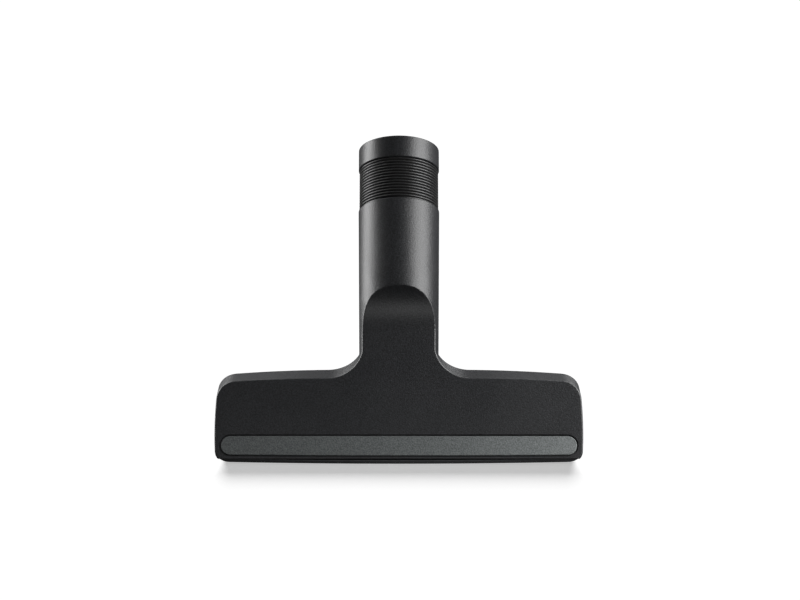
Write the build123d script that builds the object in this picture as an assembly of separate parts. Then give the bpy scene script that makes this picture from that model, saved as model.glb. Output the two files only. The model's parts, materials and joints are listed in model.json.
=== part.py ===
from build123d import *

import os
from math import cos, radians, sin, sqrt

# Upholstery and surface nozzle for a 35 mm vacuum wand: a T-shaped suction head whose slanted neck
# carries a swivelling cuff. Millimetres. +X to the right, +Y to the rear, +Z up, sole on Z = 0.
# The neck's axis passes through the origin and leans back: s is the distance along it, m the
# distance in front of it.

# Neck axis and face
NECK_ANGLE = 55.0
NECK_DIR = (0.0, cos(radians(NECK_ANGLE)), sin(radians(NECK_ANGLE)))
FACE_DIR = (0.0, -sin(radians(NECK_ANGLE)), cos(radians(NECK_ANGLE)))
FACE_M = 8.0
ARCH_R = 23.0
ARCH_TOP_S = 81.7

# Head outline, drawn on the face
HALF_WIDTH = 88.5
SOLE_S = -FACE_M * cos(radians(NECK_ANGLE)) / sin(radians(NECK_ANGLE))
BOTTOM_CORNER_R = 7.0
TOP_CORNER_R = 8.9
SHOULDER_S_END = 36.35
SHOULDER_S_NECK = 37.85
SIDE_BOW = 0.8
SIDE_LEAN = 0.7
NECK_HALF = 17.5
FLARE_R = 17.0
FLARE_CAP = 4.0
HEAD_REAR_Y = 32.6
HEAD_REAR_BOW = 3.5
REAR_CORNER_R = 7.0
SIDE_SPARE = 0.3
REAR_TOP_R = 3.0
EDGE_R = 0.8
SEAM_EDGE_R = 0.3
WALL = 2.4
END_WALL = 3.6
FAR = 120.0
RIB_T = 1.8
RIB_REACH = 7.0

# Neck tube
TUBE_R_TOP = 20.0
TUBE_R_LOW = 18.9
TUBE_TOP_S = 127.3
TUBE_LOW_S = 10.0
TUBE_CHAMFER = 0.5
DUCT_R = 17.1
SWIVEL_R = 17.7
SWIVEL_LOW_S = 105.0

# Sole plate
LIP_H = 1.9
SEAM = 0.5
LIP_SET = 0.3
LIP_BOW = 3.2
LIP_EDGE_R = 0.6
GASKET_INSET = 1.0
GASKET_FRONT = 2.0
GASKET_W = 1.2
GASKET_SIDE = 2.3
PLATE_H = 4.6
PLATE_CLEAR = 0.3
SLOT_HALF = 75.0
SLOT_Y = (2.0, 13.5)
STRIP_HALF = 74.0
FRONT_STRIP_Y = -2.4
REAR_STRIP_Y = 17.5
STRIP_W = 4.0
POCKET_GAP = 0.15
POCKET_TOP = 3.4
PILE_TOP = 1.3
PILE_FOOT = 0.1
SCREW_X = (-70.0, -34.0, 34.0, 70.0)
SCREW_Y = 23.6
SCREW_R = 1.45
SCREW_TOP = 14.0
HEAD_R = 2.8
HEAD_Z = (0.6, 2.4)
BOSS_R = 3.2
BOSS_TOP = 18.0

# Inlay on the face
INLAY_HALF = 84.9
INLAY_S = (-0.4, 8.85)
INLAY_BOW = 0.4
INLAY_GAP = 0.8
INLAY_T = 1.0
INLAY_EDGE_R = 0.25
TAPE_T = 0.2
TAPE_INSET = 0.5

# Swivelling cuff
CUFF_LOW_S = 108.0
CUFF_SEAT_S = 127.9
SHOULDER_TOP_S = 129.6
COLLAR_LOW_S = 148.8
COLLAR_TOP_S = 160.1
COLLAR_R = 20.0
SOCKET_R = 17.5
SOCKET_LOW_S = 131.2
SOCKET_SEAL_R = 17.9
CUFF_R = 18.5
GLUE = 0.03
SPIGOT_R = 16.6
SPIGOT_BORE = 15.0
RIB_COUNT = 14
RIB_CREST_R = 19.6
RIB_ROOT_R = 19.05
RUN_FIT = 0.05
WASHER_R = 19.0
WASHER_TOP_S = 127.85
BEARING_S = (112.4, 124.2)
SEAL_S = 125.5
SEAL_GROOVE = 1.8
SEAL_ROOT_R = 15.95
SEAL_MID_R = 16.8
SEAL_CORD_R = 0.82
RING_S = (110.9, 112.1)
RING_GROOVE_R = 15.9
RING_R = 17.3
RING_GAP = 6.0
COLLAR_CAP = 0.9
RIM_R = 0.6

NECK = Plane(origin=(0, 0, 0), x_dir=(1, 0, 0), z_dir=NECK_DIR)
FACE = Plane(origin=Vector(*FACE_DIR) * FACE_M, x_dir=(1, 0, 0), z_dir=FACE_DIR)
SIDE = Plane(origin=(0, 0, 0), x_dir=NECK_DIR, z_dir=(1, 0, 0))


def turned(points):
    """Solid of revolution about the neck axis from (radius, s) points."""
    return NECK * revolve(make_face(Plane.XZ * Polyline(*points, close=True)), Axis.Z)


def head_outline(inset):
    """Half outline of head and neck on the face, moved in by the wall: a chain of tangent arcs."""
    side = HALF_WIDTH - inset * END_WALL / WALL
    corner = TOP_CORNER_R - inset
    end_s = SHOULDER_S_END - inset
    neck_s = SHOULDER_S_NECK - inset
    neck = NECK_HALF - inset
    flare = FLARE_R + inset
    flare_top = (neck, neck_s + flare)
    flare_end = (neck + flare, neck_s)
    shoulder_end = (side - SIDE_BOW - corner, end_s)
    side_top = (side - SIDE_BOW, end_s - corner)
    side_foot = (side - SIDE_LEAN, SOLE_S + BOTTOM_CORNER_R)
    shoulder = TangentArc(flare_end, shoulder_end, tangent=(1, 0))
    turn = TangentArc(shoulder_end, side_top, tangent=shoulder % 1)
    flank = TangentArc(side_top, side_foot, tangent=turn % 1)
    cap = (neck - FLARE_CAP, flare_top[1] + FLARE_CAP)
    half = Polyline((0, cap[1]), cap, flare_top)
    half += RadiusArc(flare_top, flare_end, -flare)
    half += shoulder
    half += turn
    half += flank
    if inset:
        low = SOLE_S - FAR
        half += Polyline(side_foot, (side_foot[0], low), (0, low))
    else:
        low = side_foot[0] - BOTTOM_CORNER_R
        half += RadiusArc(side_foot, (low, SOLE_S), BOTTOM_CORNER_R)
        half += Line((low, SOLE_S), (0, SOLE_S))
    return Plane.XY * half


def head_prism(inset):
    """The outline carried straight back from the face, as a mould draws it."""
    half = head_outline(inset)
    other = mirror(half, Plane.YZ)
    flat = make_face((half + other).edges())
    front = FACE * flat
    return extrude(front, FAR, dir=(0, 1, 0)) + extrude(front, FAR, dir=(0, -1, 0))


def plan_block(inset, low, high, front=-FAR, side=HALF_WIDTH + SIDE_SPARE):
    """Plan shape of the head: straight sides, bowed rear wall, rounded rear corners."""
    end_y = HEAD_REAR_Y - HEAD_REAR_BOW - inset
    rear = Bezier((side, end_y), (0, end_y + 2 * HEAD_REAR_BOW), (-side, end_y))
    rest = Polyline((-side, end_y), (-side, front), (side, front), (side, end_y))
    flat = make_face((rear + rest).edges())
    corners = flat.vertices().filter_by(lambda v: v.Y > end_y - 1.0)
    flat = fillet(corners, REAR_CORNER_R - inset / 2)
    return Pos(0, 0, low) * extrude(flat, high - low)


def front_cutter(depth):
    """Everything in front of the face: a flat that sweeps out to meet the tube at the arch."""
    centre_m = FACE_M + ARCH_R
    radius = ARCH_R + depth
    flat_m = FACE_M - depth
    end_m = TUBE_R_TOP + 6.0
    draft = (TUBE_R_TOP - TUBE_R_LOW) / (TUBE_TOP_S - TUBE_LOW_S)
    tube_m = TUBE_R_LOW + draft * (ARCH_TOP_S - TUBE_LOW_S)
    start_s = ARCH_TOP_S - sqrt(ARCH_R**2 - (centre_m - tube_m) ** 2)
    end_s = start_s + sqrt(radius**2 - (centre_m - end_m) ** 2)
    mid = (start_s + radius * sin(radians(30)), centre_m - radius * cos(radians(30)))
    arc = ThreePointArc((start_s, flat_m), mid, (end_s, end_m))
    rest = Polyline((end_s, end_m), (end_s, FAR), (-FAR, FAR), (-FAR, flat_m), (start_s, flat_m))
    profile = make_face((arc + rest).edges())
    return extrude(SIDE * profile, FAR, both=True)


def rear_edges(head):
    """Edges where the rear wall turns over into the shoulders and the flares."""
    found = []
    for edge in head.edges():
        points = [edge.position_at(share) for share in (0, 0.5, 1)]
        upright = edge.geom_type == GeomType.LINE and abs(edge.tangent_at(0).Z) > 0.9
        if min(point.Y for point in points) > 22 and points[1].Z > LIP_H + 1 and not upright:
            found.append(edge)
    return found


def face_edges(form):
    """Edges round the flat face and over its arch."""
    found = []
    for edge in form.edges():
        middle = edge.position_at(0.5)
        s = middle.dot(Vector(*NECK_DIR))
        m = middle.dot(Vector(*FACE_DIR))
        run_out = abs(middle.X) < 1 and 50 < s < 70
        arch = abs(middle.X) < 1 and 75 < s < 90 and m > 15
        seam = abs(middle.X) < 1 and s < 0
        if (abs(m - FACE_M) < 0.01 and not run_out and not seam) or arch:
            found.append(edge)
    return found


def seam_edge(form):
    """The long straight edge where the face meets the seam."""
    found = []
    for edge in form.edges():
        middle = edge.position_at(0.5)
        if abs(middle.X) < 1 and abs(middle.Z - LIP_H - SEAM) < 0.01 and middle.Y < 0:
            found.append(edge)
    return found


def outer_form():
    """Solid outside form of head and neck, before it is hollowed."""
    tube = turned(
        [
            (0, TUBE_LOW_S),
            (TUBE_R_LOW, TUBE_LOW_S),
            (TUBE_R_TOP, TUBE_TOP_S - TUBE_CHAMFER),
            (TUBE_R_TOP - TUBE_CHAMFER, TUBE_TOP_S),
            (0, TUBE_TOP_S),
        ]
    )
    floor = LIP_H + SEAM
    head = head_prism(0) & plan_block(0, floor, FAR)
    head = fillet(rear_edges(head), REAR_TOP_R)
    form = (head + tube) - front_cutter(0)
    form -= Pos(0, 0, floor - FAR) * Box(4 * FAR, 4 * FAR, 2 * FAR)
    form = fillet(face_edges(form), EDGE_R)
    return fillet(seam_edge(form), SEAM_EDGE_R)


def inner_form():
    """Air space: the chamber over the slot and the duct up the neck."""
    chamber = head_prism(WALL) & plan_block(WALL, -FAR, FAR, side=HALF_WIDTH + SIDE_SPARE - END_WALL)
    duct_low = TUBE_LOW_S + 4.0
    duct = turned([(0, duct_low), (DUCT_R, duct_low), (DUCT_R, TUBE_TOP_S), (0, TUBE_TOP_S)])
    seat_top = TUBE_TOP_S + 1.0
    seat = turned([(0, SWIVEL_LOW_S), (SWIVEL_R, SWIVEL_LOW_S), (SWIVEL_R, seat_top), (0, seat_top)])
    return ((chamber + duct) - front_cutter(WALL)) + seat


def inlay_outline(grow):
    """Long rounded strip on the face, its lower edge slightly bowed."""
    low, high = INLAY_S
    radius = (high - low) / 2
    end = INLAY_HALF - radius
    mid = (high + low) / 2
    top = Line((-end, high), (end, high))
    right = ThreePointArc((end, high), (end + radius, mid), (end, low))
    bottom = ThreePointArc((end, low), (0, low - INLAY_BOW), (-end, low))
    left = ThreePointArc((-end, low), (-end - radius, mid), (-end, high))
    flat = make_face((top + right + bottom + left).edges())
    return offset(flat, grow) if grow else flat


def on_face(flat, depth, thick):
    """A flat outline as a plate that starts depth below the face and rises by thick."""
    return FACE * (Pos(0, 0, -depth) * extrude(flat, thick))


def boss(x):
    """Screw boss under the rear wall, tied to it by a rib."""
    post = Pos(x, SCREW_Y, PLATE_H) * extrude(Circle(BOSS_R), BOSS_TOP - PLATE_H)
    rib_y = SCREW_Y + RIB_REACH / 2
    rib = Pos(x, rib_y, (PLATE_H + BOSS_TOP) / 2) * Box(RIB_T, RIB_REACH, BOSS_TOP - PLATE_H)
    return post + rib


def nozzle_body():
    """One-piece moulded T: hollow head and neck, screw bosses, recess for the inlay."""
    outside = outer_form()
    shell = outside - inner_form()
    for x in SCREW_X:
        shell += boss(x) & outside
        shell -= Pos(x, SCREW_Y, 0) * extrude(Circle(SCREW_R + RUN_FIT), SCREW_TOP + 1.0)
    recess = on_face(inlay_outline(INLAY_GAP), INLAY_T + TAPE_T, FACE_M)
    return shell - recess


def face_inlay():
    """Grey soft-touch strip let into the face."""
    strip = on_face(inlay_outline(0), INLAY_T, INLAY_T)
    heights = {edge: edge.position_at(0.5).dot(Vector(*FACE_DIR)) for edge in strip.edges()}
    rim = [edge for edge, height in heights.items() if abs(height - FACE_M) < 0.01]
    return fillet(rim, INLAY_EDGE_R)


def inlay_tape():
    """Double-sided tape that holds the inlay."""
    return on_face(inlay_outline(-TAPE_INSET), INLAY_T + TAPE_T, TAPE_T)


def front_edge_y(z):
    """Where the face's plane stands at height z."""
    slope = cos(radians(NECK_ANGLE)) / sin(radians(NECK_ANGLE))
    return z * slope - FACE_M / sin(radians(NECK_ANGLE))


def plate_rim():
    """Lip of the sole plate: the head's plan with a front edge that bows forward in the middle."""
    seam_y = front_edge_y(LIP_H + SEAM)
    side = HALF_WIDTH + SIDE_SPARE
    end_y = HEAD_REAR_Y - HEAD_REAR_BOW
    end = seam_y + LIP_SET + LIP_BOW
    front = Bezier((-side, end), (0, end - 2 * LIP_BOW), (side, end))
    rear = Bezier((side, end_y), (0, end_y + 2 * HEAD_REAR_BOW), (-side, end_y))
    sides = Line((side, end), (side, end_y)) + Line((-side, end_y), (-side, end))
    flat = make_face((front + rear + sides).edges())
    flat = fillet(flat.vertices().filter_by(lambda v: v.Y > 0), REAR_CORNER_R)
    block = extrude(flat, LIP_H)
    front_top = [
        edge
        for edge in block.edges()
        if edge.position_at(0.5).Y < end - LIP_BOW / 2 and edge.position_at(0.5).Z > LIP_H - 0.1
    ]
    block = fillet(front_top, LIP_EDGE_R)
    return block & head_prism(0)


def slot_cut(half, y_low, y_high, z_low, z_high):
    """Long slot with round ends, as a cutting body."""
    width = y_high - y_low
    flat = SlotOverall(2 * half, width)
    return Pos(0, (y_low + y_high) / 2, z_low) * extrude(flat, z_high - z_low)


def sole_plate():
    """Plate screwed under the head: lip, suction slot, strip pockets, screw recesses."""
    inner_front = front_edge_y(PLATE_H) + WALL / sin(radians(NECK_ANGLE)) + PLATE_CLEAR
    inset = WALL + PLATE_CLEAR
    pad_side = HALF_WIDTH - SIDE_LEAN - END_WALL - PLATE_CLEAR
    pad = plan_block(inset, 0, PLATE_H, inner_front, pad_side)
    plate = plate_rim() + pad
    plate -= slot_cut(SLOT_HALF, *SLOT_Y, -1.0, PLATE_H + 1.0)
    for y in (FRONT_STRIP_Y, REAR_STRIP_Y):
        plate -= Pos(0, y, POCKET_TOP / 2 - 0.5) * Box(2 * STRIP_HALF, STRIP_W, POCKET_TOP + 1.0)
    for x in SCREW_X:
        plate -= Pos(x, SCREW_Y, 0) * extrude(Circle(SCREW_R + 0.2), PLATE_H)
        plate -= Pos(x, SCREW_Y, 0) * extrude(Circle(HEAD_R + 0.4), HEAD_Z[1])
    return plate


def sole_gasket():
    """Thin ring in the seam between the shell and the sole plate."""
    z = LIP_H
    front_y = front_edge_y(LIP_H + SEAM)
    outer_side = HALF_WIDTH - GASKET_SIDE
    far = GASKET_INSET + GASKET_W
    outer = plan_block(GASKET_INSET, z, z + SEAM, front_y + GASKET_FRONT, outer_side)
    inner = plan_block(far, z, z + SEAM, front_y + GASKET_FRONT + GASKET_W, outer_side - GASKET_W)
    return outer - inner


def strip_carrier(y):
    """Rail that sits in a pocket of the sole plate."""
    long = 2 * (STRIP_HALF - POCKET_GAP)
    wide = STRIP_W - 2 * POCKET_GAP
    tall = POCKET_TOP - PILE_TOP
    return Pos(0, y, PILE_TOP + tall / 2) * Box(long, wide, tall)


def velour_strip(y):
    """Velour pad under its carrier: the lint lifter, its pile just short of the sole's plane."""
    long = 2 * (STRIP_HALF - 2 * POCKET_GAP)
    wide = STRIP_W - 4 * POCKET_GAP
    tall = PILE_TOP - PILE_FOOT
    return Pos(0, y, PILE_FOOT + tall / 2) * Box(long, wide, tall)


def sole_screws():
    """Four pan-head thread-forming screws."""
    screws = []
    for x in SCREW_X:
        shank = Pos(x, SCREW_Y, HEAD_Z[1] - 0.1) * extrude(Circle(SCREW_R), SCREW_TOP - HEAD_Z[1] + 0.1)
        head = Pos(x, SCREW_Y, HEAD_Z[0]) * extrude(Circle(HEAD_R), HEAD_Z[1] - HEAD_Z[0])
        drive = Pos(x, SCREW_Y, HEAD_Z[0] - 0.1) * extrude(Rectangle(2.4, 0.6) + Rectangle(0.6, 2.4), 1.1)
        screws.append(head + shank - drive)
    return Compound(children=screws)


def bearing_ring():
    """Slide bush pressed into the neck, in which the cuff's spigot turns."""
    inner = SPIGOT_R + RUN_FIT
    outer = SWIVEL_R - 0.02
    low, high = BEARING_S
    return turned([(inner, low), (outer, low), (outer, high), (inner, high)])


def thrust_washer():
    """Flat washer between the neck's end and the cuff, seen as a dark line."""
    inner = SPIGOT_R + 0.3
    low = TUBE_TOP_S
    high = WASHER_TOP_S
    return turned([(inner, low), (WASHER_R, low), (WASHER_R, high), (inner, high)])


def cuff_tube():
    """Cuff core: spigot with seal and ring grooves below, wand socket above."""
    ring_low, ring_high = RING_S
    seal_low = SEAL_S - SEAL_GROOVE / 2
    seal_high = SEAL_S + SEAL_GROOVE / 2
    return turned(
        [
            (SPIGOT_BORE, CUFF_LOW_S),
            (SPIGOT_R - 0.4, CUFF_LOW_S),
            (SPIGOT_R, CUFF_LOW_S + 0.4),
            (SPIGOT_R, ring_low - 0.1),
            (RING_GROOVE_R, ring_low - 0.1),
            (RING_GROOVE_R, ring_high + 0.1),
            (SPIGOT_R, ring_high + 0.1),
            (SPIGOT_R, seal_low),
            (SEAL_ROOT_R, seal_low),
            (SEAL_ROOT_R, seal_high),
            (SPIGOT_R, seal_high),
            (SPIGOT_R, CUFF_SEAT_S),
            (CUFF_R, CUFF_SEAT_S),
            (CUFF_R, COLLAR_TOP_S - COLLAR_CAP),
            (SOCKET_R, COLLAR_TOP_S - COLLAR_CAP),
            (SOCKET_R, SOCKET_LOW_S),
            (SOCKET_SEAL_R, SOCKET_LOW_S),
            (SOCKET_SEAL_R, SHOULDER_TOP_S),
            (SPIGOT_BORE, SHOULDER_TOP_S),
        ]
    )


def grip_sleeve():
    """Ribbed soft sleeve over the cuff core."""
    pitch = (COLLAR_LOW_S - CUFF_SEAT_S) / RIB_COUNT
    inner = CUFF_R + GLUE
    points = [(inner, CUFF_SEAT_S)]
    for k in range(RIB_COUNT):
        base = CUFF_SEAT_S + k * pitch
        points += [
            (RIB_ROOT_R, base),
            (RIB_CREST_R, base + 0.3 * pitch),
            (RIB_CREST_R, base + 0.7 * pitch),
        ]
    points += [(RIB_ROOT_R, COLLAR_LOW_S), (inner, COLLAR_LOW_S)]
    return turned(points)


def end_collar():
    """Smooth collar that caps the cuff and leads the wand in."""
    inner = CUFF_R + GLUE
    low = COLLAR_LOW_S
    top = COLLAR_TOP_S
    cap = top - COLLAR_CAP
    ring = turned(
        [
            (inner, low),
            (COLLAR_R - 0.4, low),
            (COLLAR_R, low + 0.4),
            (COLLAR_R, top),
            (SOCKET_R + 0.7, top),
            (SOCKET_R, top - 0.7),
            (SOCKET_R, cap),
            (inner, cap),
        ]
    )
    rim = [
        edge
        for edge in ring.edges()
        if edge.geom_type == GeomType.CIRCLE
        and abs(edge.radius - COLLAR_R) < 0.01
        and edge.arc_center.dot(Vector(*NECK_DIR)) > top - 0.1
    ]
    return fillet(rim, RIM_R)


def swivel_seal():
    """Round-section ring in the spigot's upper groove."""
    section = Pos(SEAL_MID_R, SEAL_S) * Circle(SEAL_CORD_R)
    return NECK * revolve(Plane.XZ * section, Axis.Z)


def retaining_ring():
    """Split ring in the spigot's lower groove, which keeps the cuff in the neck."""
    low, high = RING_S
    ring = turned([(RING_GROOVE_R + 0.05, low), (RING_R, low), (RING_R, high), (RING_GROOVE_R + 0.05, high)])
    gap = NECK * (Pos(0, -RING_R, (low + high) / 2) * Box(RING_GAP, 2 * RING_R, 10.0))
    return ring - gap


def socket_seal():
    """Flat ring at the bottom of the wand socket."""
    low = SHOULDER_TOP_S
    high = SOCKET_LOW_S - RUN_FIT
    inner = SPIGOT_BORE + 0.6
    outer = SOCKET_SEAL_R - RUN_FIT
    return turned([(inner, low), (outer, low), (outer, high), (inner, high)])


PARTS = {
    "nozzle_body": nozzle_body,
    "sole_plate": sole_plate,
    "sole_gasket": sole_gasket,
    "sole_screws": sole_screws,
    "front_strip_carrier": lambda: strip_carrier(FRONT_STRIP_Y),
    "rear_strip_carrier": lambda: strip_carrier(REAR_STRIP_Y),
    "front_velour_strip": lambda: velour_strip(FRONT_STRIP_Y),
    "rear_velour_strip": lambda: velour_strip(REAR_STRIP_Y),
    "face_inlay": face_inlay,
    "inlay_tape": inlay_tape,
    "bearing_ring": bearing_ring,
    "thrust_washer": thrust_washer,
    "cuff_tube": cuff_tube,
    "grip_sleeve": grip_sleeve,
    "end_collar": end_collar,
    "swivel_seal": swivel_seal,
    "retaining_ring": retaining_ring,
    "socket_seal": socket_seal,
}

os.makedirs("parts", exist_ok=True)
for name, make in PARTS.items():
    export_step(make(), f"parts/{name}.step")
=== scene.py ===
"""Looks of the upholstery and surface nozzle: camera, studio, then each piece from the sole up to the
wand socket. Metres. +X to the right, +Y to the rear, +Z up, sole on Z = 0."""

import json
from math import cos, pi, radians, sin

import bmesh
import bpy
import numpy as np
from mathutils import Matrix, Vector


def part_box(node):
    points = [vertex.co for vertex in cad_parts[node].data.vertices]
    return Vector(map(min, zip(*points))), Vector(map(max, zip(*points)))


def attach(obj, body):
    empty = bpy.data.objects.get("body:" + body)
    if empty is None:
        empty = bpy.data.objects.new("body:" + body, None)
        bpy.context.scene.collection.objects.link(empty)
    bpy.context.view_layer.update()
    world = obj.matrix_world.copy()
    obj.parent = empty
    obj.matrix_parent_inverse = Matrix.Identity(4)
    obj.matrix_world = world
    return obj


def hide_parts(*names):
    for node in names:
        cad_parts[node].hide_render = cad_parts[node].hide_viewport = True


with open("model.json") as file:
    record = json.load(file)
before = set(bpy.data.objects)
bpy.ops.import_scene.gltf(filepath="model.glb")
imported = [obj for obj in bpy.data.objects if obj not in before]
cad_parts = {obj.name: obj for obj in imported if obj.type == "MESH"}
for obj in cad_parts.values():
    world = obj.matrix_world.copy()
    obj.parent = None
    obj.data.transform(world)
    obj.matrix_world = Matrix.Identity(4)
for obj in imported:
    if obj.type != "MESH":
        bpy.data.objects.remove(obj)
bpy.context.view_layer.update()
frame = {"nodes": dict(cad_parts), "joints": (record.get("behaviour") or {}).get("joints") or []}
MM = 0.001

# ---------------------------------------------------------------- camera
# A long lens, 1.25 m off and 15 degrees above the table, looking level across the nozzle's width.
AIM = Vector((0.00055, 0.03609, 0.06898))
DISTANCE = 1.25
LOOK_DOWN = radians(15)
SENSOR_MM = 36.0
LENS_MM = 115.83
camera_data = bpy.data.cameras.new("camera")
camera_data.sensor_width = SENSOR_MM
camera_data.lens = LENS_MM
camera = bpy.data.objects.new("camera", camera_data)
camera.location = AIM + DISTANCE * Vector((0, -cos(LOOK_DOWN), sin(LOOK_DOWN)))
camera.rotation_euler = (pi / 2 - LOOK_DOWN, 0, 0)
bpy.context.scene.collection.objects.link(camera)
bpy.context.scene.camera = camera
bpy.context.scene.view_settings.view_transform = "Standard"


# ---------------------------------------------------------------- studio
# A translucent white acrylic table, lit from beneath and by a low light from behind. A large softbox
# stands at the right of the nozzle, a smaller one at the left and two broad lights behind it. The
# room is dark and the table is kept out of the gloss, so black plastic stays black.
def linear(colour):
    """Linear RGBA of an sRGB hex colour: below 0.04045 a straight line, above it the 2.4 power."""
    share = np.array([int(colour[k : k + 2], 16) for k in (1, 3, 5)]) / 255
    low = share / 12.92
    high = ((share + 0.055) / 1.055) ** 2.4
    return (*np.where(share <= 0.04045, low, high), 1.0)


def add(material, kind, inputs=None, **settings):
    """Adds one shader node. Settings are its properties; each input is a value, or a socket to link."""
    made = material.node_tree.nodes.new(kind)
    for name, value in settings.items():
        setattr(made, name, value)
    for name, value in (inputs or {}).items():
        if isinstance(value, bpy.types.NodeSocket):
            material.node_tree.links.new(value, made.inputs[name])
        else:
            made.inputs[name].default_value = value
    return made


def new_material(name):
    """An empty node material and its output node."""
    material = bpy.data.materials.new(name)
    material.use_nodes = True
    material.node_tree.nodes.clear()
    return material, add(material, "ShaderNodeOutputMaterial")


def finish_material(material, output, shader):
    """Links the shader to the output and returns the material."""
    material.node_tree.links.new(shader.outputs[0], output.inputs["Surface"])
    return material


def mesh_object(name, points, faces):
    """A smooth-shaded mesh object at the origin from arrays of points and faces."""
    mesh = bpy.data.meshes.new(name)
    mesh.from_pydata(points.tolist(), [], [tuple(face) for face in faces.tolist()])
    mesh.polygons.foreach_set("use_smooth", np.ones(len(mesh.polygons), bool))
    mesh.update()
    made = bpy.data.objects.new(name, mesh)
    bpy.context.scene.collection.objects.link(made)
    return made


TABLE_HALF = 4.0
TABLE_COLOUR = "#f3f3f3"
TABLE_GLOW = 0.46
table_corners = np.array([(-1, -1), (1, -1), (1, 1), (-1, 1)]) * TABLE_HALF
table = mesh_object("table", np.c_[table_corners, np.zeros(4)], np.array([[0, 1, 2, 3]]))
acrylic_sheet, sheet_output = new_material("lit_white_acrylic")
sheet_face = add(acrylic_sheet, "ShaderNodeBsdfDiffuse", {"Color": linear(TABLE_COLOUR)})
sheet_glow = add(acrylic_sheet, "ShaderNodeEmission", {"Strength": TABLE_GLOW})
sheet = add(acrylic_sheet, "ShaderNodeAddShader", {0: sheet_face.outputs[0], 1: sheet_glow.outputs[0]})
acrylic_sheet.cycles.emission_sampling = "NONE"
table.data.materials.append(finish_material(acrylic_sheet, sheet_output, sheet))
table.visible_glossy = False
table.visible_diffuse = False

ROOM_LIGHT = 0.07
room = bpy.data.worlds.new("room")
room.use_nodes = True
room.node_tree.nodes["Background"].inputs["Color"].default_value = (1, 1, 1, 1)
room.node_tree.nodes["Background"].inputs["Strength"].default_value = ROOM_LIGHT
bpy.context.scene.world = room


def aim_light(kind, name, strength, place, target=(0, 0, 0)):
    """A light at place that shines towards target and isn't itself in the picture."""
    data = bpy.data.lights.new(name, kind)
    data.energy = strength
    made = bpy.data.objects.new(name, data)
    made.location = place
    made.rotation_euler = (Vector(target) - Vector(place)).to_track_quat("-Z", "Y").to_euler()
    made.visible_camera = False
    bpy.context.scene.collection.objects.link(made)
    return made


# Each light keeps to its own work: the table light's soft shadow is cast by a low card hidden in the
# head, the kicker reaches only the low pieces, the fill lights the face and the lip but not the
# inlay, and the other lights stay off the table.
CARD_HALF = 83.5 * MM
CARD_HIGH = 12.4 * MM
CARD_BACK = 2 * MM
card_corners = np.array(
    [
        (-CARD_HALF, CARD_BACK, 0),
        (CARD_HALF, CARD_BACK, 0),
        (CARD_HALF, CARD_BACK, CARD_HIGH),
        (-CARD_HALF, CARD_BACK, CARD_HIGH),
    ]
)
card = mesh_object("shadow_card", card_corners, np.array([[0, 1, 2, 3]]))
card.visible_camera = False
card.visible_diffuse = False
card.visible_glossy = False
card_only = bpy.data.collections.new("card_only")
card_only.objects.link(card)
table_only = bpy.data.collections.new("table_only")
table_only.objects.link(table)
nozzle_only = bpy.data.collections.new("all_but_the_table")
nozzle_only.objects.link(table)
nozzle_only.collection_objects[0].light_linking.link_state = "EXCLUDE"
low_pieces = bpy.data.collections.new("low_pieces")
black_pieces = bpy.data.collections.new("face_and_lip")

TABLE_LIGHT = 5.4
TABLE_LIGHT_FROM = (0, 0.93, 0.34)
TABLE_LIGHT_SPREAD = radians(19)
table_light = aim_light("SUN", "table_light", TABLE_LIGHT, TABLE_LIGHT_FROM)
table_light.data.angle = TABLE_LIGHT_SPREAD
table_light.light_linking.receiver_collection = table_only
table_light.light_linking.blocker_collection = card_only

BACK_LIGHT = 1.6
BACK_SPREAD = radians(45)
BACK_SIDES = (-0.75, 0.75)
for side in BACK_SIDES:
    back = aim_light("SUN", "back_light", BACK_LIGHT, (side, 0.9, 0.85))
    back.data.angle = BACK_SPREAD
    back.light_linking.receiver_collection = nozzle_only

# Each softbox: name, watts, place, target, width, height, and what it lights.
SOFTBOXES = (
    ("right_softbox", 2.5, (0.33, 0.00, 0.27), (0.0, 0.05, 0.07), 0.30, 0.34, nozzle_only),
    ("left_softbox", 1.5, (-0.36, 0.18, 0.16), (0.0, 0.05, 0.08), 0.18, 0.30, nozzle_only),
    ("right_kicker", 0.5, (0.22, -0.07, 0.05), (0.02, 0.00, 0.01), 0.06, 0.12, low_pieces),
    ("front_fill", 0.08, (0.0, -0.17, 0.07), (0.0, 0.01, 0.04), 0.20, 0.08, black_pieces),
)
for name, watts, place, target, width, height, lit in SOFTBOXES:
    box = aim_light("AREA", name, watts, place, target)
    box.data.shape = "RECTANGLE"
    box.data.size = width
    box.data.size_y = height
    box.light_linking.receiver_collection = lit


# ---------------------------------------------------------------- nozzle body
# One black ABS moulding, head and neck together, with the screw bosses inside. The tool is
# spark-eroded all over, so the skin has a fine even grain that breaks up every reflection.
DOUBLES = 0.002 * MM
CREASE = radians(28)
FLAT_WEIGHT = 100


def merged_copy(node, name):
    """The node's surface as one connected mesh: doubles merged, smooth but for edges over CREASE."""
    mesh = frame["nodes"][node].data.copy()
    mesh.name = name
    mesh.materials.clear()
    shape = bmesh.new()
    shape.from_mesh(mesh)
    bmesh.ops.remove_doubles(shape, verts=shape.verts, dist=DOUBLES)
    for face in shape.faces:
        face.smooth = True
    for edge in shape.edges:
        edge.smooth = len(edge.link_faces) == 2 and edge.calc_face_angle(0) < CREASE
    shape.to_mesh(mesh)
    shape.free()
    made = bpy.data.objects.new(name, mesh)
    bpy.context.scene.collection.objects.link(made)
    weigh = made.modifiers.new("even_flats", "WEIGHTED_NORMAL")
    weigh.keep_sharp = True
    weigh.weight = FLAT_WEIGHT
    return made


def finish_piece(piece, material, body, slot, *nodes):
    """Gives a piece its material and its body, and hides the CAD nodes that it stands for. The slot is
    not used.
    """
    piece.data.materials.clear()
    piece.data.materials.append(material)
    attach(piece, body)
    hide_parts(*nodes)


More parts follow.
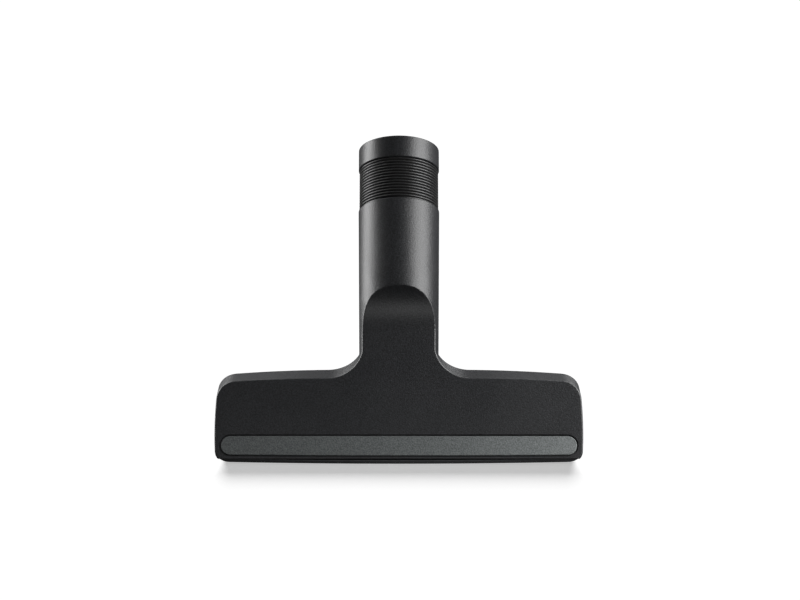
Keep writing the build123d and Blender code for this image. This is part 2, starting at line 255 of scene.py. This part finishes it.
def moulded(name, dark, light, rough, grain_mm, depth_mm, ior=1.53, sheen=0.0):
    """Moulded plastic or rubber with an eroded grain: craters in relief, specks and a faint cloud."""
    material, output = new_material(name)
    place = add(material, "ShaderNodeTexCoord").outputs["Object"]
    cloud = add(
        material,
        "ShaderNodeTexNoise",
        {"Vector": place, "Scale": 1 / (30 * MM), "Detail": 3.0, "Roughness": 0.5},
    )
    speck = add(
        material,
        "ShaderNodeTexNoise",
        {"Vector": place, "Scale": 1 / (grain_mm * MM), "Detail": 2.0, "Roughness": 0.6},
    )
    crater = add(
        material,
        "ShaderNodeTexVoronoi",
        {"Vector": place, "Scale": 0.9 / (grain_mm * MM)},
        feature="SMOOTH_F1",
    )
    height = add(
        material,
        "ShaderNodeMath",
        {0: speck.outputs["Fac"], 1: crater.outputs["Distance"]},
        operation="ADD",
    )
    relief = add(
        material,
        "ShaderNodeBump",
        {"Height": height.outputs[0], "Distance": depth_mm * MM, "Strength": 1.0},
    )
    share = add(
        material,
        "ShaderNodeMapRange",
        {"Value": speck.outputs["Fac"], "From Min": 0.35, "From Max": 0.68},
    )
    tone = add(
        material,
        "ShaderNodeMix",
        {"Factor": share.outputs[0], "A": linear(dark), "B": linear(light)},
        data_type="RGBA",
    )
    gloss = add(
        material,
        "ShaderNodeMapRange",
        {
            "Value": cloud.outputs["Fac"],
            "From Min": 0.3,
            "From Max": 0.7,
            "To Min": rough - 0.03,
            "To Max": rough + 0.03,
        },
    )
    shader = add(
        material,
        "ShaderNodeBsdfPrincipled",
        {
            "Base Color": tone.outputs["Result"],
            "Roughness": gloss.outputs[0],
            "IOR": ior,
            "Sheen Weight": sheen,
            "Normal": relief.outputs[0],
        },
    )
    return finish_material(material, output, shader)


# Black ABS off a spark-eroded tool: a soft broad highlight that the grain turns sparkly at its edge.
black_abs = moulded("spark_eroded_black_abs", "#0f1011", "#2c2d30", 0.41, 0.55, 0.055)
body_shell = merged_copy("nozzle_body", "body_shell")
finish_piece(body_shell, black_abs, "nozzle", "shell_plastic", "nozzle_body")
black_pieces.objects.link(body_shell)

# ---------------------------------------------------------------- sole plate
# The plate under the head, of the same black ABS but drawn from a finer tool. Its lip shows below
# the seam; underneath are the suction slot, the two strip pockets and four countersunk screw holes.
sole_abs = moulded("fine_eroded_black_abs", "#141516", "#2a2b2d", 0.42, 0.60, 0.05)
sole = merged_copy("sole_plate", "sole")
finish_piece(sole, sole_abs, "nozzle", "sole_plastic", "sole_plate")
low_pieces.objects.link(sole)
black_pieces.objects.link(sole)

# ---------------------------------------------------------------- sole gasket
# A thin ring of dull black EPDM laid between head and plate.
epdm = moulded("black_epdm_rubber", "#0b0b0c", "#19191a", 0.72, 0.50, 0.03)
gasket = merged_copy("sole_gasket", "gasket")
finish_piece(gasket, epdm, "nozzle", "seal_rubber", "sole_gasket")
low_pieces.objects.link(gasket)

# ---------------------------------------------------------------- face inlay and its tape
# A long pad of grey thermoplastic elastomer with a dry, soft-touch skin, let into the face so that
# it won't mark furniture. White acrylic double-sided tape holds it.
soft_grey = moulded("grey_soft_touch_elastomer", "#434646", "#646868", 0.52, 0.60, 0.05, 1.48, 0.05)
inlay = merged_copy("face_inlay", "inlay")
finish_piece(inlay, soft_grey, "nozzle", "inlay_grey", "face_inlay")
low_pieces.objects.link(inlay)

acrylic = moulded("white_acrylic_tape", "#c9c7c0", "#dddbd4", 0.50, 0.40, 0.01)
tape = merged_copy("inlay_tape", "tape")
finish_piece(tape, acrylic, "nozzle", "adhesive_tape", "inlay_tape")


# ---------------------------------------------------------------- sole screws
# Four pan-head screws of zinc-plated steel that cut their own thread in the bosses. The head is
# cold-headed with a cross recess, the thread is rolled, and the zinc gives a pale, slightly blue skin.
def grid_faces(rows, columns, wrap):
    """Quads of a grid of points stored row by row; wrap also joins the last column to the first."""
    across = columns if wrap else columns - 1
    row, column = np.meshgrid(np.arange(rows - 1), np.arange(across), indexing="ij")
    beside = (column + 1) % columns
    corners = (row * columns + column, row * columns + beside)
    upper = ((row + 1) * columns + beside, (row + 1) * columns + column)
    return np.stack([*corners, *upper], -1).reshape(-1, 4)


def smooth_step(value, start, end):
    """0 before start, 1 after end, and 3t^2 - 2t^3 between."""
    share = np.clip((value - start) / (end - start), 0, 1)
    return share * share * (3 - 2 * share)


SCREW_TURNS = 40
SCREW_PITCH = 1.15 * MM
SHANK_R = 1.12 * MM
CREST_R = 1.44 * MM
HEAD_R = 2.78 * MM
HEAD_H = 1.78 * MM
CROSS_HALF = 1.35 * MM
CROSS_SLOT = 0.32 * MM
CROSS_DEPTH = 1.0 * MM
DOME_RISE = 0.55 * MM
POINT_LENGTH = 3.0 * MM


def screw_points(centre, low, high):
    """Rings from the drive to the point. On the head the height is a quartic dome less the cross; on
    the shank the radius is the root plus a saw tooth of height over pitch less angle over a turn."""
    angle = np.linspace(0, 2 * pi, SCREW_TURNS, endpoint=False)
    head_r = np.linspace(0.02 * MM, HEAD_R, 20)
    dome = DOME_RISE * (head_r / HEAD_R) ** 4
    east = head_r[:, None] * np.cos(angle)
    north = head_r[:, None] * np.sin(angle)
    bar = np.minimum(np.abs(east), np.abs(north))
    reach = np.maximum(np.abs(east), np.abs(north))
    inside = 1 - smooth_step(bar, CROSS_SLOT - 0.08 * MM, CROSS_SLOT + 0.05 * MM)
    inside *= 1 - smooth_step(reach, CROSS_HALF - 0.2 * MM, CROSS_HALF)
    drive = low + dome[:, None] + CROSS_DEPTH * inside
    head = np.stack([east, north, drive], -1)
    side_r = np.array([HEAD_R, HEAD_R - 0.1 * MM, SHANK_R + 0.25 * MM, SHANK_R])
    side_z = low + np.array([HEAD_H - 0.15 * MM, HEAD_H, HEAD_H, HEAD_H + 0.25 * MM])
    shank_z = np.linspace(side_z[-1], high, 84)[1:, None] + 0 * angle
    phase = np.mod((shank_z - low) / SCREW_PITCH - angle / (2 * pi), 1)
    tooth = np.clip(1 - np.abs(phase - 0.5) / 0.28, 0, 1)
    taper = 1 - smooth_step(shank_z, high - POINT_LENGTH, high)
    shank_r = (SHANK_R + (CREST_R - SHANK_R) * tooth * taper ** 0.4) * (0.06 + 0.94 * taper ** 0.35)
    shank = np.stack([shank_r * np.cos(angle), shank_r * np.sin(angle), shank_z], -1)
    sides = np.stack([side_r[:, None] * np.cos(angle), side_r[:, None] * np.sin(angle)], -1)
    sides = np.concatenate([sides, (side_z[:, None] + 0 * angle)[..., None]], -1)
    rings = np.concatenate([head, sides, shank])
    return rings + np.array([centre[0], centre[1], 0])


def capped(points, faces, rows, columns):
    """Closes the first and the last ring of a wrapped grid with a fan about its own centre."""
    first = np.arange(columns)
    last = first + (rows - 1) * columns
    ends = np.array([points[first].mean(0), points[last].mean(0)])
    count = len(points)
    fan_low = np.stack([np.roll(first, -1), first, np.full(columns, count)], -1)
    fan_high = np.stack([last, np.roll(last, -1), np.full(columns, count + 1)], -1)
    loops = [tuple(face) for face in faces.tolist()]
    loops += [tuple(face) for face in fan_low.tolist()] + [tuple(face) for face in fan_high.tolist()]
    return np.concatenate([points, ends]), loops


TURNED_CREASE = radians(35)


def loose_mesh(name, points, loops):
    """A mesh object of mixed faces, smooth but for edges over TURNED_CREASE, its normals outwards."""
    mesh = bpy.data.meshes.new(name)
    mesh.from_pydata(points.tolist(), [], loops)
    shape = bmesh.new()
    shape.from_mesh(mesh)
    bmesh.ops.recalc_face_normals(shape, faces=shape.faces)
    for face in shape.faces:
        face.smooth = True
    for edge in shape.edges:
        edge.smooth = edge.calc_face_angle(0) < TURNED_CREASE
    shape.to_mesh(mesh)
    shape.free()
    made = bpy.data.objects.new(name, mesh)
    bpy.context.scene.collection.objects.link(made)
    return made


def metal(name, base, dark, rough, grain_mm):
    """Plated metal: an even bright skin, clouded in gloss where the plating bath was uneven."""
    material, output = new_material(name)
    place = add(material, "ShaderNodeTexCoord").outputs["Object"]
    cloud = add(
        material,
        "ShaderNodeTexNoise",
        {"Vector": place, "Scale": 1 / (grain_mm * MM), "Detail": 4.0, "Roughness": 0.6},
    )
    tone = add(
        material,
        "ShaderNodeMix",
        {"Factor": cloud.outputs["Fac"], "A": linear(dark), "B": linear(base)},
        data_type="RGBA",
    )
    gloss = add(
        material,
        "ShaderNodeMapRange",
        {"Value": cloud.outputs["Fac"], "To Min": rough - 0.08, "To Max": rough + 0.08},
    )
    relief = add(
        material,
        "ShaderNodeBump",
        {"Height": cloud.outputs["Fac"], "Distance": 0.01 * MM, "Strength": 0.6},
    )
    shader = add(
        material,
        "ShaderNodeBsdfPrincipled",
        {
            "Base Color": tone.outputs["Result"],
            "Metallic": 1.0,
            "Roughness": gloss.outputs[0],
            "Normal": relief.outputs[0],
        },
    )
    return finish_material(material, output, shader)


screw_low, screw_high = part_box("sole_screws")
SCREW_SPOTS = (-70.0, -34.0, 34.0, 70.0)
screw_y = (screw_low.y + screw_high.y) / 2
screw_parts = []
screw_loops = []
for x in SCREW_SPOTS:
    rings = screw_points((x * MM, screw_y), screw_low.z, screw_high.z)
    rows = rings.shape[0]
    flat_points = rings.reshape(-1, 3)
    whole, loops = capped(flat_points, grid_faces(rows, SCREW_TURNS, True), rows, SCREW_TURNS)
    shift = sum(len(part) for part in screw_parts)
    screw_parts.append(whole)
    screw_loops += [tuple(corner + shift for corner in loop) for loop in loops]
screws = loose_mesh("screws", np.concatenate(screw_parts), screw_loops)
zinc = metal("zinc_plated_steel", "#c9cdd2", "#8f9498", 0.32, 1.2)
finish_piece(screws, zinc, "nozzle", "screw_steel", "sole_screws")

# ---------------------------------------------------------------- strip carriers
# Two extruded rails of grey polypropylene that snap into the sole's pockets and carry the velour.
RAIL_EDGE = 0.2 * MM
RAIL_STEPS = 2
rail_grey = moulded("extruded_grey_polypropylene", "#3a3c3e", "#4a4c4e", 0.42, 0.50, 0.015, 1.49)
for end in ("front", "rear"):
    rail = merged_copy(f"{end}_strip_carrier", f"{end}_rail")
    edge_round = rail.modifiers.new("edge_round", "BEVEL")
    edge_round.width = RAIL_EDGE
    edge_round.segments = RAIL_STEPS
    finish_piece(rail, rail_grey, "nozzle", "strip_rail", f"{end}_strip_carrier")

# ---------------------------------------------------------------- velour strips
# Lint lifters: a woven backing with a short dense nylon pile whose tufts all lean one way, so that
# it lifts fluff when the nozzle is drawn back. The pile is a little shorter than the sole is high.
TUFT_PITCH = 0.40 * MM
TUFT_R = 0.19 * MM
BACKING = 0.28 * MM
TUFT_JITTER = 0.1 * MM
TUFT_LEAN = 0.35 * MM


def pile(low, high, seed):
    """Tufts on a jittered grid: each is a four-sided spike whose rings shrink towards a tip that
    leans over, hanging from a thin flat backing."""
    draw = np.random.default_rng(seed)
    across = np.arange(low.x + TUFT_PITCH / 2, high.x, TUFT_PITCH)
    along = np.arange(low.y + TUFT_PITCH / 2, high.y, TUFT_PITCH)
    east, north = (part.ravel() for part in np.meshgrid(across, along))
    count = len(east)
    east = east + draw.uniform(-1, 1, count) * TUFT_JITTER
    north = north + draw.uniform(-1, 1, count) * TUFT_JITTER
    north = np.clip(north, low.y + TUFT_R, high.y - TUFT_R)
    east = np.clip(east, low.x + TUFT_R, high.x - TUFT_R)
    turn = draw.uniform(0, pi, count)
    tall = (high.z - low.z - BACKING) * draw.uniform(0.85, 1.0, count)
    level = np.array([0.0, 0.55, 1.0])
    width = np.array([1.0, 0.95, 0.35])
    corner = np.arange(4) * pi / 2
    angle = turn[:, None, None] + corner
    size = TUFT_R * width[None, :, None]
    slide = TUFT_LEAN * level[None, :, None] ** 2
    x = east[:, None, None] + size * np.cos(angle)
    y = np.clip(north[:, None, None] + size * np.sin(angle) + slide, low.y, high.y)
    z = high.z - BACKING - tall[:, None, None] * level[None, :, None] + 0 * angle
    points = np.stack([x, y, z], -1).reshape(-1, 3)
    step = np.arange(4)
    beside = (step + 1) % 4
    ring = np.stack([step, beside, beside + 4, step + 4], -1)
    local = np.concatenate([ring, ring + 4, [[8, 9, 10, 11]], [[3, 2, 1, 0]]])
    faces = (local[None] + 12 * np.arange(count)[:, None, None]).reshape(-1, 4)
    box_low = np.array([low.x, low.y, high.z - BACKING])
    box_high = np.array(high)
    pick = np.array([(i, j, k) for k in (0, 1) for j in (0, 1) for i in (0, 1)])
    backing = box_low + pick * (box_high - box_low)
    sides = np.array(
        [[0, 2, 3, 1], [4, 5, 7, 6], [0, 1, 5, 4], [1, 3, 7, 5], [3, 2, 6, 7], [2, 0, 4, 6]]
    )
    return np.concatenate([points, backing]), np.concatenate([faces, sides + len(points)])


velour, velour_output = new_material("nylon_pile_velour")
fibre_place = add(velour, "ShaderNodeTexCoord").outputs["Object"]
fibre = add(
    velour,
    "ShaderNodeTexNoise",
    {"Vector": fibre_place, "Scale": 1 / (0.9 * MM), "Detail": 3.0},
)
fibre_tone = add(
    velour,
    "ShaderNodeMix",
    {"Factor": fibre.outputs["Fac"], "A": linear("#2a2c30"), "B": linear("#4c4f54")},
    data_type="RGBA",
)
velour_shader = add(
    velour,
    "ShaderNodeBsdfPrincipled",
    {
        "Base Color": fibre_tone.outputs["Result"],
        "Roughness": 0.9,
        "Sheen Weight": 0.5,
        "Sheen Roughness": 0.4,
    },
)
finish_material(velour, velour_output, velour_shader)
for end, seed in (("front", 11), ("rear", 12)):
    strip_low, strip_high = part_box(f"{end}_velour_strip")
    pile_points, pile_faces = pile(strip_low, strip_high, seed)
    lifter = mesh_object(f"{end}_velour", pile_points, pile_faces)
    finish_piece(lifter, velour, "nozzle", "velour", f"{end}_velour_strip")

# ---------------------------------------------------------------- slide bush and thrust washer
# Two acetal bearings between neck and cuff, turned smooth: a natural white bush guides the spigot,
# and a black washer takes the push of the wand. Only the washer's edge shows, as a thin dark line.
acetal = moulded("natural_white_acetal", "#d4d3cd", "#e2e1dc", 0.35, 0.60, 0.006, 1.48)
black_acetal = moulded("black_acetal", "#0c0c0d", "#151516", 0.38, 0.60, 0.006, 1.48)
bush = merged_copy("bearing_ring", "bush")
finish_piece(bush, acetal, "nozzle", "slide_bush", "bearing_ring")
washer = merged_copy("thrust_washer", "washer")
finish_piece(washer, black_acetal, "nozzle", "slide_bush", "thrust_washer")

# ---------------------------------------------------------------- cuff core
# The tube that turns in the neck and takes the wand: black ABS, its bore polished by the wand.
cuff_abs = moulded("smooth_black_abs", "#121314", "#1e1f21", 0.30, 0.60, 0.012)
core = merged_copy("cuff_tube", "cuff_core")
finish_piece(core, cuff_abs, "cuff", "cuff_plastic", "cuff_tube")

# ---------------------------------------------------------------- grip sleeve
# A sleeve of black thermoplastic elastomer moulded over the core, with 14 half-round rings to hold
# while the wand is pushed in. The skin is matt.
swivel = frame["joints"][0]
AXIS = np.array(swivel["axis"])
FRONT = np.cross(AXIS, (1.0, 0.0, 0.0))
ROUND = 144


def turned(name, radius, height):
    """Closed turned shape: each profile point goes round the neck axis, and the profile's last
    point joins its first. Profiles run up the outside and down the inside."""
    angle = np.linspace(0, 2 * pi, ROUND, endpoint=False)
    across = np.outer(radius, np.cos(angle))[..., None] * np.array([1.0, 0.0, 0.0])
    ahead = np.outer(radius, np.sin(angle))[..., None] * FRONT
    along = (np.asarray(height)[:, None] + 0 * angle)[..., None] * AXIS
    points = (across + ahead + along).reshape(-1, 3)
    rows = len(radius)
    row, column = np.meshgrid(np.arange(rows), np.arange(ROUND), indexing="ij")
    next_row = (row + 1) % rows
    next_column = (column + 1) % ROUND
    faces = np.stack(
        [
            row * ROUND + column,
            row * ROUND + next_column,
            next_row * ROUND + next_column,
            next_row * ROUND + column,
        ],
        -1,
    ).reshape(-1, 4)
    return loose_mesh(name, points, [tuple(face) for face in faces.tolist()])


def reach_along(node):
    """Lowest and highest point of a CAD node along the neck axis."""
    mesh = frame["nodes"][node].data
    places = np.zeros(len(mesh.vertices) * 3)
    mesh.vertices.foreach_get("co", places)
    heights = places.reshape(-1, 3) @ AXIS
    return heights.min(), heights.max()


RING_COUNT = 14
RING_STEPS = 12
RING_FULLNESS = 0.8
RING_ROOT = 18.75 * MM
RING_CREST = 19.58 * MM
SLEEVE_BORE = 18.53 * MM
sleeve_low, sleeve_high = reach_along("grip_sleeve")
turn_share = np.linspace(0, 1, RING_COUNT * RING_STEPS + 1)
sleeve_height = sleeve_low + (sleeve_high - sleeve_low) * turn_share
ring_bulge = np.abs(np.sin(pi * RING_COUNT * turn_share)) ** RING_FULLNESS
sleeve_radius = RING_ROOT + (RING_CREST - RING_ROOT) * ring_bulge
sleeve = turned(
    "ring_grip",
    np.r_[sleeve_radius, SLEEVE_BORE, SLEEVE_BORE],
    np.r_[sleeve_height, sleeve_high, sleeve_low],
)
grip_rubber = moulded("black_matt_elastomer", "#151516", "#252525", 0.32, 0.50, 0.02, 1.50, 0.05)
finish_piece(sleeve, grip_rubber, "cuff", "grip_rubber", "grip_sleeve")

# ---------------------------------------------------------------- end collar
# A smooth black ABS collar pressed over the core's end: rounded rim, lead-in for the wand.
collar_abs = moulded("eroded_collar_abs", "#0f1011", "#2b2c2f", 0.40, 0.55, 0.045)
collar = merged_copy("end_collar", "collar")
finish_piece(collar, collar_abs, "cuff", "collar_plastic", "end_collar")

# ---------------------------------------------------------------- swivel seal
# A round-section EPDM ring in the spigot's upper groove keeps the swivel airtight.
SEAL_MID = 16.8 * MM
SEAL_STEPS = 20
seal_low, seal_high = reach_along("swivel_seal")
seal_cord = (seal_high - seal_low) / 2
cord_angle = np.linspace(0, 2 * pi, SEAL_STEPS, endpoint=False)
seal = turned(
    "round_seal",
    SEAL_MID + seal_cord * np.cos(cord_angle),
    (seal_low + seal_high) / 2 + seal_cord * np.sin(cord_angle),
)
finish_piece(seal, epdm, "cuff", "seal_rubber", "swivel_seal")

# ---------------------------------------------------------------- retaining ring
# A split ring of spring steel, sheared from flat wire, that snaps into the spigot's lower groove.
SPLIT_HALF = radians(10)
CLIP_IN = 15.98 * MM
CLIP_OUT = 17.28 * MM
CLIP_EDGE = 0.2 * MM
CLIP_TURNS = 120
CLIP_SIDES = 16
clip_low, clip_high = reach_along("retaining_ring")
corner_angle = np.linspace(0, 2 * pi, CLIP_SIDES, endpoint=False) + pi / CLIP_SIDES
clip_half_r = (CLIP_OUT - CLIP_IN) / 2
clip_half_h = (clip_high - clip_low) / 2
round_r = np.sign(np.cos(corner_angle)) * (clip_half_r - CLIP_EDGE) + CLIP_EDGE * np.cos(corner_angle)
round_h = np.sign(np.sin(corner_angle)) * (clip_half_h - CLIP_EDGE) + CLIP_EDGE * np.sin(corner_angle)
bend = np.linspace(SPLIT_HALF, 2 * pi - SPLIT_HALF, CLIP_TURNS)[:, None] - pi / 2
clip_radius = (CLIP_IN + CLIP_OUT) / 2 + round_r
clip_points = (
    (clip_radius * np.cos(bend))[..., None] * np.array([1.0, 0.0, 0.0])
    + (clip_radius * np.sin(bend))[..., None] * FRONT
    + ((clip_low + clip_high) / 2 + round_h + 0 * bend)[..., None] * AXIS
).reshape(-1, 3)
clip_faces = grid_faces(CLIP_TURNS, CLIP_SIDES, True)
clip_whole, clip_loops = capped(clip_points, clip_faces, CLIP_TURNS, CLIP_SIDES)
clip = loose_mesh("split_ring", clip_whole, clip_loops)
spring_steel = metal("phosphated_spring_steel", "#7d7f82", "#4f5154", 0.38, 0.8)
finish_piece(clip, spring_steel, "cuff", "screw_steel", "retaining_ring")

# ---------------------------------------------------------------- socket seal
# An EPDM ring at the bottom of the socket: two raised beads that the wand's end presses flat.
bead_low, bead_high = reach_along("socket_seal")
BEAD_IN = 15.6 * MM
BEAD_OUT = 17.8 * MM
BEAD_DIP = 0.45 * MM
bead_share = np.linspace(0, 1, 33)
bead_radius = BEAD_OUT + (BEAD_IN - BEAD_OUT) * bead_share
bead_height = bead_high - BEAD_DIP * np.cos(2 * pi * bead_share) ** 2
ring_seal = turned(
    "socket_ring",
    np.r_[BEAD_OUT, bead_radius, BEAD_IN],
    np.r_[bead_low, bead_height, bead_low],
)
finish_piece(ring_seal, epdm, "cuff", "seal_rubber", "socket_seal")
